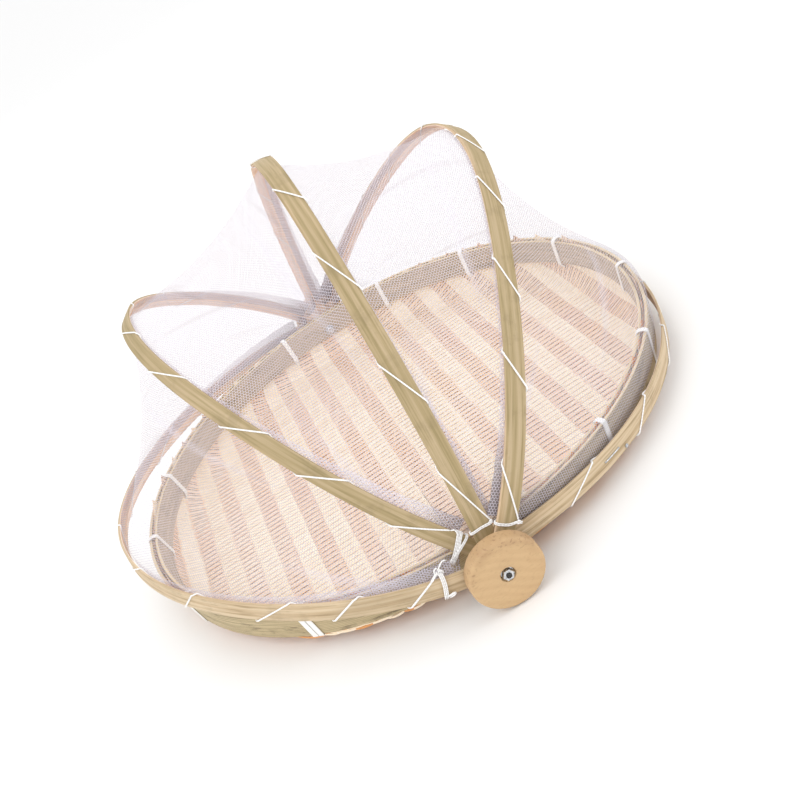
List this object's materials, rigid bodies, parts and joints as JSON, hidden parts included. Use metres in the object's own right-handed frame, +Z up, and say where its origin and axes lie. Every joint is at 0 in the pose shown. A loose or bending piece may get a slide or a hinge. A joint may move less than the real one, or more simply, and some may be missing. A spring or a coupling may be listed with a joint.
{
  "type": "food_tent_basket",
  "caption": "Round woven bamboo food basket with a folding net tent: bent bamboo hoops on one pivot line carry white hexagonal net, and the front hoop lifts over the top.",
  "frame": {"origin": "middle of the basket's flat foot, on the surface that it stands on", "axes": "+Z up; Y along the pivot line of the hoops, far pivot at +Y; X from the lifting side (-X) to the fixed rim hoop (+X)"},
  "size_m": [0.3533, 0.388, 0.1951],
  "materials": {
    "woven_bamboo": "dry split bamboo, plain weave",
    "bamboo_rim": "bamboo with its green-grey skin, dark mottles",
    "bamboo_hoop": "khaki bamboo strip with olive grain streaks",
    "turned_wood": "pale turned wood, rounded edges, unvarnished",
    "bright_steel": "bright zinc-plated steel",
    "white_strap": "flat white strap, faintly glossy",
    "white_cord": "thin white twisted cord",
    "white_net": "fine hexagonal net"
  },
  "bodies": {
    "basket": {"woven_mat": "woven_bamboo", "inner_rim_band": "bamboo_rim", "outer_rim_band": "bamboo_rim", "rim_tie_01": "white_strap", "rim_tie_02": "white_strap", "rim_tie_03": "white_strap", "rim_tie_04": "white_strap", "rim_tie_05": "white_strap", "rim_tie_06": "white_strap", "rim_tie_07": "white_strap", "rim_tie_08": "white_strap", "rim_tie_09_a": "white_strap", "rim_tie_09_b": "white_strap", "rim_tie_10": "white_strap", "rim_tie_11": "white_strap", "rim_tie_12": "white_strap", "fixed_rim_hoop": "bamboo_hoop", "fixed_rim_hoop_lashing": "white_cord", "rim_staple": "bright_steel", "rim_nail": "bright_steel", "near_wooden_disc": "turned_wood", "far_wooden_disc": "turned_wood", "near_bolt": "bright_steel", "near_bolt_washer": "bright_steel", "near_nut_washer": "bright_steel", "near_nut": "bright_steel", "far_bolt": "bright_steel", "far_bolt_washer": "bright_steel", "far_nut_washer": "bright_steel", "far_nut": "bright_steel", "net_right": "white_net"},
    "bow_right": {"bow_right": "bamboo_hoop", "bow_right_lashing": "white_cord", "net_top_right": "white_net"},
    "bow_top": {"bow_top": "bamboo_hoop", "bow_top_lashing": "white_cord", "net_top_left": "white_net"},
    "bow_left": {"bow_left": "bamboo_hoop", "bow_left_lashing": "white_cord", "net_left": "white_net"},
    "lift_hoop": {"lift_hoop": "bamboo_hoop", "lift_hoop_lashing": "white_cord", "lift_hoop_knot": "white_cord"}
  },
  "joints": [
    {"name": "bow_right_hinge", "type": "hinge", "parent": "basket", "child": "bow_right", "pos_m": [0, 0, 0.02], "axis": [0, 1, 0], "range_deg": [0, 34.5], "deforming": ["net_right"]},
    {"name": "bow_top_hinge", "type": "hinge", "parent": "bow_right", "child": "bow_top", "pos_m": [0, 0, 0.02], "axis": [0, 1, 0], "range_deg": [0, 31], "deforming": ["net_top_right"]},
    {"name": "bow_left_hinge", "type": "hinge", "parent": "bow_top", "child": "bow_left", "pos_m": [0, 0, 0.02], "axis": [0, 1, 0], "range_deg": [0, 34.5], "deforming": ["net_top_left"]},
    {"name": "lift_hoop_hinge", "type": "hinge", "parent": "bow_left", "child": "lift_hoop", "pos_m": [0, 0, 0.02], "axis": [0, 1, 0], "range_deg": [0, 40.8], "deforming": ["net_left"]}
  ],
  "couplings": [
    {"joint": "bow_top_hinge", "follows": "bow_right_hinge", "ratio": 0.8985},
    {"joint": "bow_left_hinge", "follows": "bow_right_hinge", "ratio": 1},
    {"joint": "lift_hoop_hinge", "follows": "bow_right_hinge", "ratio": 1.1826}
  ]
}
